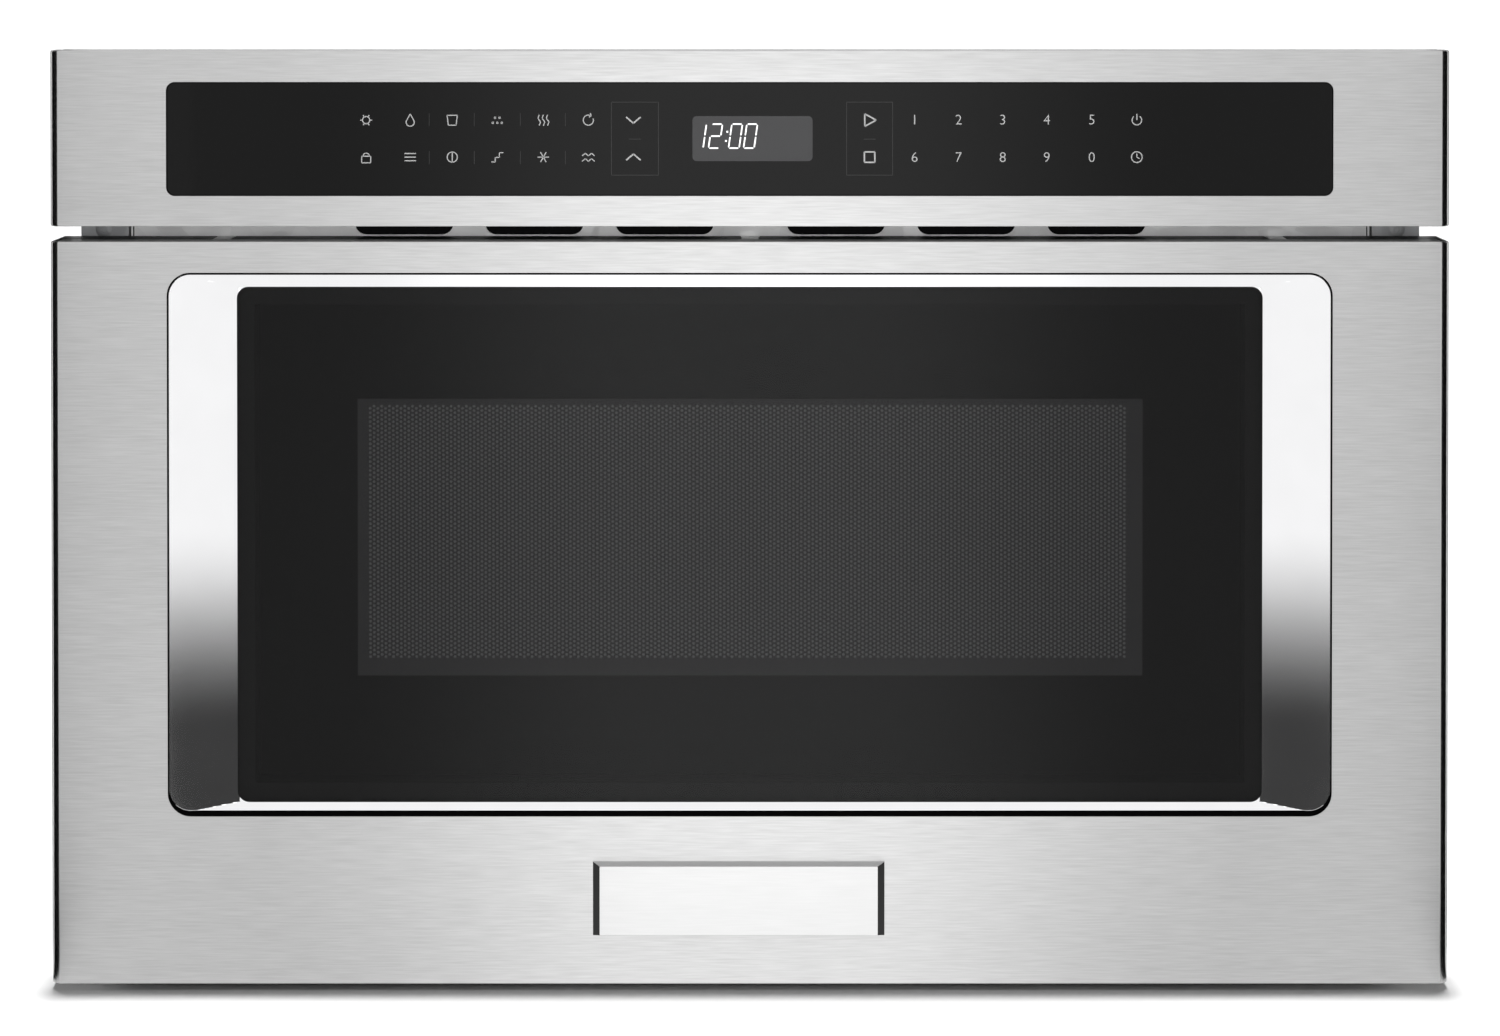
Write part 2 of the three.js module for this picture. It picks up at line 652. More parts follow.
place(drawer, 'drawer_skin', makeDrawerSkin(), brushedSteel);
place(drawer, 'window_bezel', makeBezel(), mirrorSteel);
place(drawer, 'window_glass', makeWindowGlass(), blackGlass);
place(drawer, 'door_inner_frame', makeInnerFrame(), blackPlastic);
place(drawer, 'screen_panel', makeScreen(), greyPlastic);
place(drawer, 'door_back_plate', makeDoorPlate(), zincSteel);
place(drawer, 'choke_cover', makeChokeCover(), blackPlastic);
place(drawer, 'drawer_tub', makeTub(), enamel);
place(drawer, 'ceramic_shelf', makeShelf(), ceramic);
place(drawer, 'badge_plate', makeBadge(), satinBadge);

// ---------------------------------------------------------------- control panel

const CONTROL_GLASS_HALF = PANEL_HALF - CONTROL_GLASS_SIDE;
const CONTROL_GLASS_BOTTOM = CONTROL_BOTTOM + CONTROL_GLASS_EDGE;
const CONTROL_GLASS_TOP = CONTROL_TOP - CONTROL_GLASS_EDGE;
const CONTROL_GLASS_REAR = CONTROL_GLASS_SINK + CONTROL_GLASS_THICKNESS;
const CONTROL_Z = (CONTROL_BOTTOM + CONTROL_TOP) / 2;

function controlWindow(grow) {
  return roundedRect(
    -CONTROL_GLASS_HALF - grow, CONTROL_GLASS_HALF + grow,
    CONTROL_GLASS_BOTTOM - grow, CONTROL_GLASS_TOP + grow, CONTROL_GLASS_RADIUS + grow,
  );
}

// Black carrier behind the control glass, open at the back.
function makeCarrier() {
  const webBack = FRAME_Y + CARRIER_WALL;
  const body = block(
    -FRAME_HALF, FRAME_HALF, FRAME_Y, PANEL_DEPTH,
    CONTROL_BOTTOM + FRAME_INSET, CONTROL_TOP - FRAME_INSET,
  );
  const recess = block(
    CARRIER_WALL - FRAME_HALF, FRAME_HALF - CARRIER_WALL, webBack, PANEL_DEPTH + OVERRUN,
    CONTROL_BOTTOM + FRAME_INSET + CARRIER_WALL, CONTROL_TOP - FRAME_INSET - CARRIER_WALL,
  );
  const rib = block(
    -CONTROL_GLASS_HALF, CONTROL_GLASS_HALF, CONTROL_GLASS_REAR + FIT, FRAME_Y + BITE,
    CONTROL_GLASS_BOTTOM, CONTROL_GLASS_TOP,
  );
  const opening = block(
    CARRIER_LEDGE - CONTROL_GLASS_HALF, CONTROL_GLASS_HALF - CARRIER_LEDGE,
    -OVERRUN, PANEL_DEPTH + OVERRUN,
    CONTROL_GLASS_BOTTOM + CARRIER_LEDGE, CONTROL_GLASS_TOP - CARRIER_LEDGE,
  );
  return cut(join(body, rib), recess, opening);
}

// Control board with its rows of electrolytic capacitors, relays and the large connector.
function makeControlBoard() {
  const gap = CARRIER_LEDGE + FIT;
  const back = FRAME_Y + BOARD;
  const half = CONTROL_GLASS_HALF - gap;
  const board = block(
    -half, half, FRAME_Y, back, CONTROL_GLASS_BOTTOM + gap, CONTROL_GLASS_TOP - gap,
  );
  const relays = [-0.7, -0.55, -0.4].map((share) => block(
    share * half - RELAY_WIDTH / 2, share * half + RELAY_WIDTH / 2, back - BITE,
    back + RELAY_DEPTH, CONTROL_Z - RELAY_HEIGHT / 2, CONTROL_Z + RELAY_HEIGHT / 2,
  ));
  const capacitors = [0.2, 0.32, 0.44, 0.56].map((share) => bar(
    'y', share * half, CONTROL_Z, CAPACITOR_RADIUS, back - BITE, back + CAPACITOR_DEPTH, 12,
  ));
  const connector = block(
    -CONNECTOR_WIDTH / 2, CONNECTOR_WIDTH / 2, back - BITE, back + CONNECTOR_DEPTH,
    CONTROL_Z - CONNECTOR_HEIGHT / 2, CONTROL_Z + CONNECTOR_HEIGHT / 2,
  );
  return join(board, connector, ...relays, ...capacitors);
}

function makeDisplay() {
  const shape = roundedRect(
    -DISPLAY_WIDTH / 2, DISPLAY_WIDTH / 2,
    CONTROL_Z - DISPLAY_HEIGHT / 2, CONTROL_Z + DISPLAY_HEIGHT / 2, 2,
  );
  return extrude(shape, 'y', CONTROL_GLASS_REAR + FIT, FRAME_Y - FIT);
}

// Folded brackets that hold the panel to the chassis top.
function makePanelBracket(side) {
  const outer = CHASSIS_HALF - SIDE_SPACE;
  const inner = outer - PANEL_BRACKET_WIDTH;
  const front = PANEL_DEPTH + FIT;
  const top = CONTROL_TOP - FRAME_INSET - CARRIER_WALL / 2;
  const upright = sideBlock(side, inner, outer, front, front + PLATE, CHASSIS_TOP + FIT, top);
  const foot = sideBlock(
    side, inner, outer, front, PLATE_DEPTH + FLANGE_RETURN,
    CHASSIS_TOP + FIT, CHASSIS_TOP + FIT + PLATE,
  );
  return join(upright, foot);
}

place(
  controlPanel, 'control_fascia',
  panelSkin(CONTROL_BOTTOM, CONTROL_TOP, controlWindow(FIT)), brushedSteel,
);
place(
  controlPanel, 'control_glass',
  extrude(controlWindow(0), 'y', CONTROL_GLASS_SINK, CONTROL_GLASS_REAR), blackGlass,
);
place(controlPanel, 'control_carrier', makeCarrier(), blackPlastic);
place(controlPanel, 'display_module', makeDisplay(), displayGlass);
place(controlPanel, 'control_board', makeControlBoard(), circuitBoard);
place(controlPanel, 'panel_bracket_left', makePanelBracket(-1), zincSteel);
place(controlPanel, 'panel_bracket_right', makePanelBracket(1), zincSteel);

// ---------------------------------------------------------------- chassis shell

const MIRRORED = [['left', -1], ['right', 1]];

// Rail section in (x, z), back against outer, open towards the middle of the oven.
function channel(side, outer, depth, height, wall, lip) {
  const x = (inboard) => side * (outer - inboard);
  const half = height / 2;
  const upper = [
    [depth, half], [depth, half - lip], [depth - wall, half - lip],
    [depth - wall, half - wall], [wall, half - wall],
  ];
  const lower = upper.slice().reverse().map(([inboard, z]) => [inboard, -z]);
  const points = [[0, half], ...upper, ...lower, [0, -half]];
  return polygon(points.map(([inboard, z]) => [x(inboard), RAIL_CENTRE + z]));
}

const RAIL_STEP = RAIL_WALL + RAIL_CLEARANCE;

// The three members of a rail nest in each other: level 0 is the fixed one.
function rail(side, level, from, to) {
  const shape = channel(
    side, RAIL_X - level * RAIL_STEP, RAIL_DEPTH - 2 * level * RAIL_STEP,
    RAIL_HEIGHT - 2 * level * RAIL_STEP, RAIL_WALL, RAIL_LIP,
  );
  return extrude(shape, 'y', from, to);
}

// Frame plate with the cavity opening, the slots for rails, rack and hooks, and the vents.
function ventShape(centre) {
  const bottom = DRAWER_TOP + PANEL_GAP / 10;
  const top = bottom + VENT_HEIGHT;
  const half = VENT_WIDTH / 2;
  const shape = new THREE.Shape();
  shape.moveTo(centre - half, top);
  shape.lineTo(centre - half, bottom + VENT_RADIUS);
  shape.absarc(
    centre - half + VENT_RADIUS, bottom + VENT_RADIUS, VENT_RADIUS, Math.PI, 1.5 * Math.PI,
  );
  shape.lineTo(centre + half - VENT_RADIUS, bottom);
  shape.absarc(
    centre + half - VENT_RADIUS, bottom + VENT_RADIUS, VENT_RADIUS, 1.5 * Math.PI, 2 * Math.PI,
  );
  shape.lineTo(centre + half, top);
  return shape;
}

const RACK_TOP = RACK_PITCH_Z + GEAR_MODULE * 1.25 + RACK_BODY;

function makeFramePlate() {
  const through = [-OVERRUN, PLATE + OVERRUN];
  const plate = block(-CHASSIS_HALF, CHASSIS_HALF, 0, PLATE, FOOT_HEIGHT, CHASSIS_TOP);
  const opening = extrude(roundedRect(
    -CAVITY_HALF, CAVITY_HALF, CAVITY_FLOOR, CAVITY_CEILING, CHOKE_GAP + BITE,
  ), 'y', ...through);
  const railSlots = MIRRORED.map(([, side]) => sideBlock(
    side, RAIL_X - RAIL_DEPTH, RAIL_X, ...through,
    RAIL_CENTRE - RAIL_HEIGHT / 2, RAIL_CENTRE + RAIL_HEIGHT / 2,
  ));
  const hookSlots = MIRRORED.map(([, side]) => sideBlock(
    side, HOOK_X - HOOK_THICKNESS / 2 - SLOT_CLEARANCE, HOOK_X + HOOK_THICKNESS / 2 + SLOT_CLEARANCE,
    ...through, HOOK_Z - HOOK_HEIGHT - SLOT_CLEARANCE, HOOK_Z + HOOK_HEIGHT / 2 + SLOT_CLEARANCE,
  ));
  const rackSlot = block(
    -RACK_WIDTH / 2 - SLOT_CLEARANCE, RACK_WIDTH / 2 + SLOT_CLEARANCE, ...through,
    RACK_PITCH_Z - GEAR_MODULE - SLOT_CLEARANCE, RACK_TOP + SLOT_CLEARANCE,
  );
  const vents = MIRRORED.flatMap(([, side]) => Array.from(
    { length: VENT_COUNT },
    (_, k) => extrude(ventShape(side * (VENT_FIRST + k * VENT_PITCH)), 'y', ...through),
  ));
  return cut(plate, opening, rackSlot, ...railSlots, ...hookSlots, ...vents);
}

// Angle strips beside the plate that the cabinet screws go through.
function makeMountingFlange(side) {
  const inner = CHASSIS_HALF + FIT;
  const face = sideBlock(side, inner, FLANGE_HALF, 0, PLATE, FOOT_HEIGHT, CHASSIS_TOP);
  const leg = sideBlock(side, inner, inner + PLATE, 0, FLANGE_RETURN, FOOT_HEIGHT, CHASSIS_TOP);
  const holeX = side * (inner + PLATE + FLANGE_HALF) / 2;
  const holes = [0.12, 0.5, 0.88].map((share) => bar(
    'y', holeX, FOOT_HEIGHT + share * (CHASSIS_TOP - FOOT_HEIGHT),
    FLANGE_HOLE_RADIUS, -OVERRUN, PLATE + OVERRUN, 12,
  ));
  return cut(join(face, leg), ...holes);
}

const REAR_Y = CHASSIS_DEPTH - SHEET;    // front of the rear panel

function makeBasePan() {
  const half = CHASSIS_HALF - SHEET - FIT;
  return cut(
    block(-half, half, PLATE, REAR_Y, FOOT_HEIGHT, PAN_TOP + PAN_FLANGE),
    block(
      SHEET - half, half - SHEET, PLATE + SHEET, REAR_Y - SHEET, PAN_TOP,
      PAN_TOP + PAN_FLANGE + OVERRUN,
    ),
    block(
      -RACK_WIDTH / 2 - SLOT_CLEARANCE, RACK_WIDTH / 2 + SLOT_CLEARANCE, PLATE - OVERRUN,
      PLATE + SHEET + OVERRUN, RACK_PITCH_Z - GEAR_MODULE - SLOT_CLEARANCE, CHASSIS_TOP,
    ),
    ...MIRRORED.map(([, side]) => sideBlock(
      side, RAIL_X - RAIL_DEPTH, RAIL_X, PLATE - OVERRUN, PLATE + SHEET + OVERRUN,
      RAIL_CENTRE - RAIL_HEIGHT / 2, CHASSIS_TOP,
    )),
  );
}

// Side and top cover in one folded sheet, with a bank of slots near the back of each side.
function makeWrap() {
  const shell = cut(
    block(-CHASSIS_HALF, CHASSIS_HALF, PLATE, REAR_Y, FOOT_HEIGHT, CHASSIS_TOP),
    block(
      SHEET - CHASSIS_HALF, CHASSIS_HALF - SHEET, PLATE - OVERRUN, REAR_Y + OVERRUN,
      FOOT_HEIGHT - OVERRUN, CHASSIS_TOP - SHEET,
    ),
  );
  const middle = (CAVITY_REAR + REAR_Y) / 2;
  const slots = Array.from({ length: LOUVRE_COUNT }, (_, k) => block(
    -CHASSIS_HALF - OVERRUN, CHASSIS_HALF + OVERRUN,
    middle - LOUVRE_WIDTH / 2, middle + LOUVRE_WIDTH / 2,
    CAVITY_CEILING - k * LOUVRE_PITCH - LOUVRE_HEIGHT, CAVITY_CEILING - k * LOUVRE_PITCH,
  ));
  return cut(shell, ...slots);
}

const GLAND_X = CHASSIS_HALF - SIDE_SPACE;
const GLAND_Z = PAN_TOP + PAN_FLANGE + 2 * GLAND_RADIUS;

function makeRearPanel() {
  const panel = block(-CHASSIS_HALF, CHASSIS_HALF, REAR_Y, CHASSIS_DEPTH, FOOT_HEIGHT, CHASSIS_TOP);
  const banks = MIRRORED.flatMap(([, side]) => Array.from({ length: LOUVRE_COUNT }, (_, k) => {
    const top = CAVITY_CEILING - k * LOUVRE_PITCH;
    return sideBlock(
      side, CAVITY_HALF / 2, CAVITY_HALF / 2 + LOUVRE_WIDTH, REAR_Y - OVERRUN,
      CHASSIS_DEPTH + OVERRUN, top - LOUVRE_HEIGHT, top,
    );
  }));
  const hole = bar(
    'y', GLAND_X, GLAND_Z, GLAND_RADIUS + FIT, REAR_Y - OVERRUN, CHASSIS_DEPTH + OVERRUN, 24,
  );
  return cut(panel, hole, ...banks);
}

// Cord gland: a threaded sleeve through the rear panel with a collar on each side.
function makeGland() {
  const collar = GLAND_RADIUS + 4;
  const sleeve = join(
    bar('y', GLAND_X, GLAND_Z, GLAND_RADIUS, REAR_Y - 12, CHASSIS_DEPTH + GLAND_PROUD, 24),
    bar('y', GLAND_X, GLAND_Z, collar, CHASSIS_DEPTH + FIT, CHASSIS_DEPTH + GLAND_PROUD, 24),
    bar('y', GLAND_X, GLAND_Z, collar, REAR_Y - FIT - BRACKET * 2, REAR_Y - FIT, 6),
  );
  return cut(sleeve, bar(
    'y', GLAND_X, GLAND_Z, GLAND_RADIUS / 2, REAR_Y - 12 - OVERRUN,
    CHASSIS_DEPTH + GLAND_PROUD + OVERRUN, 16,
  ));
}

place(chassis, 'front_frame_plate', makeFramePlate(), zincSteel);
place(chassis, 'base_pan', makeBasePan(), zincSteel);
place(chassis, 'outer_wrap', makeWrap(), zincSteel);
place(chassis, 'rear_panel', makeRearPanel(), zincSteel);
place(chassis, 'cord_gland', makeGland(), blackPlastic);
MIRRORED.forEach(([name, side]) => {
  place(chassis, `mounting_flange_${name}`, makeMountingFlange(side), zincSteel);
});
[['front', FOOT_INSET], ['rear', CHASSIS_DEPTH - FOOT_INSET]].forEach(([row, y]) => {
  MIRRORED.forEach(([name, side]) => {
    const foot = bar('z', 0, 0, FOOT_RADIUS, 0, FOOT_HEIGHT);
    const x = side * (CHASSIS_HALF - FOOT_INSET);
    place(chassis, `foot_${row}_${name}`, foot, rubber, [x, y, 0]);
  });
});

// ---------------------------------------------------------------- cavity and generator

// Welded cavity with a front flange, a raised stirrer recess, lamp holes and rear air slots.
function makeCavity() {
  const recessHalf = STIRRER_RECESS / 2;
  const rear = CAVITY_REAR + SHEET;
  const shell = join(
    block(
      -CAVITY_HALF - SHEET, CAVITY_HALF + SHEET, CAVITY_START, rear,
      CAVITY_FLOOR - SHEET, CAVITY_CEILING + SHEET,
    ),
    block(
      -CAVITY_HALF - CAVITY_FLANGE, CAVITY_HALF + CAVITY_FLANGE, CAVITY_START,
      CAVITY_START + SHEET, CAVITY_FLOOR - CAVITY_FLANGE, CAVITY_CEILING + CAVITY_FLANGE,
    ),
    block(
      -recessHalf - SHEET, recessHalf + SHEET, RECESS_CENTRE - recessHalf - SHEET,
      RECESS_CENTRE + recessHalf + SHEET, CAVITY_CEILING, RECESS_TOP + SHEET,
    ),
  );
  const inside = block(
    -CAVITY_HALF, CAVITY_HALF, CAVITY_START - OVERRUN, CAVITY_REAR, CAVITY_FLOOR, CAVITY_CEILING,
  );
  const recess = block(
    -recessHalf, recessHalf, RECESS_CENTRE - recessHalf, RECESS_CENTRE + recessHalf,
    CAVITY_CEILING - OVERRUN, RECESS_TOP,
  );
  const feed = block(
    -FEED_WIDTH / 2, FEED_WIDTH / 2, RECESS_CENTRE - FEED_WIDTH / 4,
    RECESS_CENTRE + FEED_WIDTH / 4, RECESS_TOP - OVERRUN, RECESS_TOP + SHEET + OVERRUN,
  );
  const airSlots = Array.from({ length: LOUVRE_COUNT }, (_, k) => block(
    (k - LOUVRE_COUNT / 2) * LOUVRE_PITCH, (k - LOUVRE_COUNT / 2) * LOUVRE_PITCH + LOUVRE_HEIGHT,
    CAVITY_REAR - OVERRUN, rear + OVERRUN,
    CAVITY_CEILING - LOUVRE_WIDTH, CAVITY_CEILING - LOUVRE_WIDTH / 2,
  ));
  const lampHoles = [-1, 0, 1].flatMap((row) => [-1, 0, 1].map((column) => bar(
    'x', LAMP_Y + column * LAMP_HOLE_PITCH, LAMP_Z + row * LAMP_HOLE_PITCH, LAMP_HOLE_RADIUS,
    CAVITY_HALF - OVERRUN, CAVITY_HALF + SHEET + OVERRUN, 8,
  )));
  return cut(shell, inside, recess, feed, ...airSlots, ...lampHoles);
}

const LAMP_Y = CAVITY_REAR - LAMP_SETBACK;
const LAMP_Z = CAVITY_CEILING - LAMP_DROP;

// Lamp: mounting plate with a window, socket and bulb, on the cavity's right side.
function makeLamp() {
  const inner = CAVITY_HALF + SHEET + FIT;
  const half = 2 * LAMP_HOLE_PITCH;
  const plate = cut(
    block(inner, inner + PLATE, LAMP_Y - half, LAMP_Y + 2 * half, LAMP_Z - half, LAMP_Z + half),
    block(
      inner - OVERRUN, inner + PLATE + OVERRUN, LAMP_Y - half + BRACKET, LAMP_Y + half - BRACKET,
      LAMP_Z - half + BRACKET, LAMP_Z + half - BRACKET,
    ),
  );
  const socket = block(
    inner, inner + SOCKET_LENGTH, LAMP_Y + half - BITE, LAMP_Y + 2 * half,
    LAMP_Z - SOCKET_WIDTH / 2, LAMP_Z + SOCKET_WIDTH / 2,
  );
  const bulb = new THREE.SphereGeometry(BULB_RADIUS, 12, 8);
  bulb.scale(1, 1.4, 1);
  bulb.translate(inner + SOCKET_LENGTH * 0.55, LAMP_Y + half - BULB_RADIUS * 1.25, LAMP_Z);
  return join(plate, socket, solidOf(bulb));
}

// Flat stirrer cover under the ceiling recess.
function makeStirrerCover() {
  const half = STIRRER_RECESS / 2 + STIRRER_COVER_LAP;
  return block(
    -half, half, RECESS_CENTRE - half, RECESS_CENTRE + half,
    CAVITY_CEILING - FIT - SHEET, CAVITY_CEILING - FIT,
  );
}

const MAGNETRON_Y = (CAVITY_REAR + SHEET + REAR_Y) / 2;
const WAVEGUIDE_FRONT = RECESS_CENTRE - WAVEGUIDE_WIDTH / 2;
const WAVEGUIDE_REAR = MAGNETRON_Y + MAGNETRON_LENGTH / 2;

// Rectangular duct from the magnetron's antenna to the feed opening.
function makeWaveguide() {
  const half = WAVEGUIDE_WIDTH / 2;
  return cut(
    block(-half, half, WAVEGUIDE_FRONT, WAVEGUIDE_REAR, WAVEGUIDE_BOTTOM, WAVEGUIDE_TOP),
    block(
      SHEET - half, half - SHEET, WAVEGUIDE_FRONT + SHEET, WAVEGUIDE_REAR - SHEET,
      WAVEGUIDE_BOTTOM + SHEET, WAVEGUIDE_TOP - SHEET,
    ),
    block(
      -FEED_WIDTH / 2, FEED_WIDTH / 2, RECESS_CENTRE - FEED_WIDTH / 4,
      RECESS_CENTRE + FEED_WIDTH / 4, WAVEGUIDE_BOTTOM - OVERRUN, WAVEGUIDE_BOTTOM + 2 * SHEET,
    ),
    bar(
      'z', 0, MAGNETRON_Y, ANTENNA_RADIUS + BRACKET,
      WAVEGUIDE_BOTTOM - OVERRUN, WAVEGUIDE_BOTTOM + 2 * SHEET,
    ),
    bar(
      'z', 0, RECESS_CENTRE, STIRRER_SHAFT + BRACKET,
      WAVEGUIDE_TOP - 2 * SHEET, WAVEGUIDE_TOP + OVERRUN,
    ),
  );
}

// Magnetron: top plate, cooling fins round the anode, filter box and antenna.
function makeMagnetron() {
  const top = WAVEGUIDE_BOTTOM - FIT;
  const bottom = top - MAGNETRON_HEIGHT;
  const halfX = MAGNETRON_WIDTH / 2;
  const halfY = MAGNETRON_LENGTH / 2;
  const plate = (z) => block(
    -halfX, halfX, MAGNETRON_Y - halfY, MAGNETRON_Y + halfY, z, z + BRACKET,
  );
  const finSpace = MAGNETRON_HEIGHT * 0.6;
  const finPitch = finSpace / (MAGNETRON_FINS + 1);
  const fins = Array.from({ length: MAGNETRON_FINS }, (_, k) => block(
    8 - halfX, halfX - 8, MAGNETRON_Y - halfY + 8, MAGNETRON_Y + halfY - 8,
    top - BRACKET - (k + 1) * finPitch, top - BRACKET - (k + 1) * finPitch + SHEET,
  ));
  const walls = [-1, 1].map((side) => sideBlock(
    side, halfX - BRACKET, halfX, MAGNETRON_Y - halfY, MAGNETRON_Y + halfY, bottom, top,
  ));
  const anode = bar('z', 0, MAGNETRON_Y, 20, bottom, top, 16);
  const filter = block(
    -halfX, halfX, MAGNETRON_Y - halfY, MAGNETRON_Y + halfY,
    bottom, top - finSpace - 2 * BRACKET,
  );
  const antenna = bar('z', 0, MAGNETRON_Y, ANTENNA_RADIUS, top - BITE, top + ANTENNA_HEIGHT, 16);
  return join(plate(top - BRACKET), filter, anode, antenna, ...fins, ...walls);
}

// Slow synchronous motor over the waveguide, its shaft reaching down into the recess.
function makeStirrerMotor() {
  const base = WAVEGUIDE_TOP + FIT;
  return join(
    bar('z', 0, RECESS_CENTRE, STIRRER_MOTOR_RADIUS, base, base + STIRRER_MOTOR_HEIGHT, 24),
    block(
      -STIRRER_MOTOR_RADIUS - 8, STIRRER_MOTOR_RADIUS + 8, RECESS_CENTRE - 6, RECESS_CENTRE + 6,
      base, base + BRACKET,
    ),
    bar('z', 0, RECESS_CENTRE, STIRRER_SHAFT, CAVITY_CEILING + BRACKET, base + BITE, 16),
  );
}

// Stirrer: hub on the shaft and four tilted blades, drawn round its own axis.
function makeStirrer() {
  const bottom = CAVITY_CEILING + 2 * BRACKET;
  const top = RECESS_TOP - 2 * BRACKET;
  const hub = bar('z', 0, 0, STIRRER_SHAFT + FIT + BRACKET, bottom, top, 20);
  const blades = Array.from({ length: 4 }, (_, k) => {
    const geometry = new THREE.BoxGeometry(STIRRER_RADIUS - 8, 26, SHEET);
    geometry.rotateX(Math.PI / 10);
    geometry.translate(STIRRER_SHAFT + 1 + (STIRRER_RADIUS - 8) / 2, 0, (bottom + top) / 2);
    geometry.rotateZ(k * Math.PI / 2);
    return solidOf(geometry);
  });
  const bore = bar('z', 0, 0, STIRRER_SHAFT + FIT, bottom - OVERRUN, top + OVERRUN, 16);
  return cut(join(hub, ...blades), bore);
}

place(chassis, 'oven_cavity', makeCavity(), enamel);
place(chassis, 'oven_lamp', makeLamp(), warmGlass);
place(chassis, 'stirrer_cover', makeStirrerCover(), mica);
place(chassis, 'waveguide', makeWaveguide(), aluminium);
place(chassis, 'magnetron', makeMagnetron(), zincSteel);
place(chassis, 'stirrer_motor', makeStirrerMotor(), zincSteel);
place(chassis, 'stirrer_blade', makeStirrer(), aluminium, [0, RECESS_CENTRE, 0]);

// Boards on the base pan behind the cavity.
const REAR_BAY_FRONT = CAVITY_REAR + SHEET;

function legs(x0, x1, y0, y1, top) {
  return [x0 + LEG_INSET, x1 - LEG_INSET].flatMap((x) => [y0 + LEG_INSET, y1 - LEG_INSET].map(
    (y) => bar('z', x, y, LEG_RADIUS, PAN_TOP, top, 10),
  ));
}

// Inverter supply: transformer, finned heat sink and two film capacitors.
function makeInverter() {
  const x0 = -CAVITY_HALF;
  const x1 = x0 + INVERTER_WIDTH;
  const y0 = REAR_BAY_FRONT + INVERTER_MARGIN - SINK_BASE;
  const y1 = REAR_Y - INVERTER_MARGIN;
  const under = PAN_TOP + BOARD_HEIGHT;
  const top = under + BOARD;
  const sinkX = x0 + SINK_START;
  const sinkY = [y0 + INVERTER_MARGIN - SINK_FIN_WIDTH, y1 - INVERTER_MARGIN + SINK_FIN_WIDTH];
  const fins = Array.from({ length: SINK_FINS }, (_, k) => {
    const x = sinkX + SINK_FIN_WIDTH + k * SINK_FIN_PITCH;
    return block(x, x + SINK_FIN_WIDTH, ...sinkY, top, top + SINK_FIN_HEIGHT);
  });
  const coilX = x0 + INVERTER_MARGIN;
  const coilY = y0 + INVERTER_MARGIN;
  const films = [0, 1].map((k) => bar(
    'z', x0 + FILM_PLACE, coilY + FILM_PITCH * (k + 0.5) + SINK_FIN_WIDTH, FILM_RADIUS,
    top - BITE, top + FILM_HEIGHT, 12,
  ));
  return join(
    block(x0, x1, y0, y1, under, top),
    block(sinkX, sinkX + SINK_WIDTH, ...sinkY, top - BITE, top + SINK_BASE),
    block(
      coilX, coilX + TRANSFORMER_WIDTH, coilY, coilY + TRANSFORMER_LENGTH,
      top - BITE, top + TRANSFORMER_HEIGHT,
    ),
    ...films,
    ...fins,
    ...legs(x0, x1, y0, y1, under + BITE),
  );
}

// Noise filter: choke coil, capacitor and fuse.
function makeNoiseFilter() {
  const x1 = CAVITY_HALF - 2 * GLAND_RADIUS - BOARD_HEIGHT - SINK_FIN_WIDTH;
  const x0 = x1 - FILTER_WIDTH;
  const y0 = REAR_BAY_FRONT + FILTER_MARGIN;
  const y1 = y0 + FILTER_LENGTH;
  const under = PAN_TOP + BOARD_HEIGHT;
  const top = under + BOARD;
  const coil = CHOKE_COIL_RADIUS * 1.6;
  const blockX = x0 + FILTER_WIDTH * 0.6;
  return join(
    block(x0, x1, y0, y1, under, top),
    bar('z', x0 + coil, y0 + coil, CHOKE_COIL_RADIUS, top - BITE, top + CHOKE_COIL_HEIGHT, 20),
    block(
      blockX, blockX + FILTER_BLOCK_WIDTH, y0 + LEG_INSET * 2,
      y0 + LEG_INSET * 2 + FILTER_BLOCK_LENGTH, top - BITE, top + FILTER_BLOCK_HEIGHT,
    ),
    bar(
      'x', y1 - 2 * FUSE_RADIUS, top + FUSE_RADIUS - SHEET, FUSE_RADIUS,
      x1 - LEG_INSET * 2 - FUSE_LENGTH - LEG_RADIUS, x1 - LEG_INSET * 2 - LEG_RADIUS, 12,
    ),
    ...legs(x0, x1, y0, y1, under + BITE),
  );
}

place(chassis, 'inverter_board', makeInverter(), circuitBoard);
place(chassis, 'noise_filter_board', makeNoiseFilter(), circuitBoard);

// ---------------------------------------------------------------- blower

const BLOWER_X = CAVITY_HALF / 2 + 10;           // middle of the scroll
const BLOWER_Y = REAR_Y - FIT - BLOWER_RADIUS - BLOWER_GROWTH - BLOWER_WALL;
const BLOWER_Z = CAVITY_CEILING - LOUVRE_COUNT * LOUVRE_PITCH;

// Scroll outline in (y, z): it grows steadily round the lower half, then runs up to the outlet.
const OUTLET_TOP = 1.9 * BLOWER_RADIUS;

function scroll(grow) {
  const arc = (steps, from, growth) => Array.from({ length: steps }, (_, k) => {
    const share = k / (steps - 1);
    const radius = BLOWER_RADIUS + growth * share + grow;
    const angle = from + share * (growth ? Math.PI : Math.PI / 2);
    return [radius * Math.cos(angle), radius * Math.sin(angle)];
  });
  const reach = BLOWER_RADIUS + BLOWER_GROWTH + grow;
  return polygon([
    ...arc(17, Math.PI, BLOWER_GROWTH),
    [reach, OUTLET_TOP], [-grow, OUTLET_TOP],
    ...arc(8, Math.PI / 2, 0).slice(0, -1),
  ]);
}

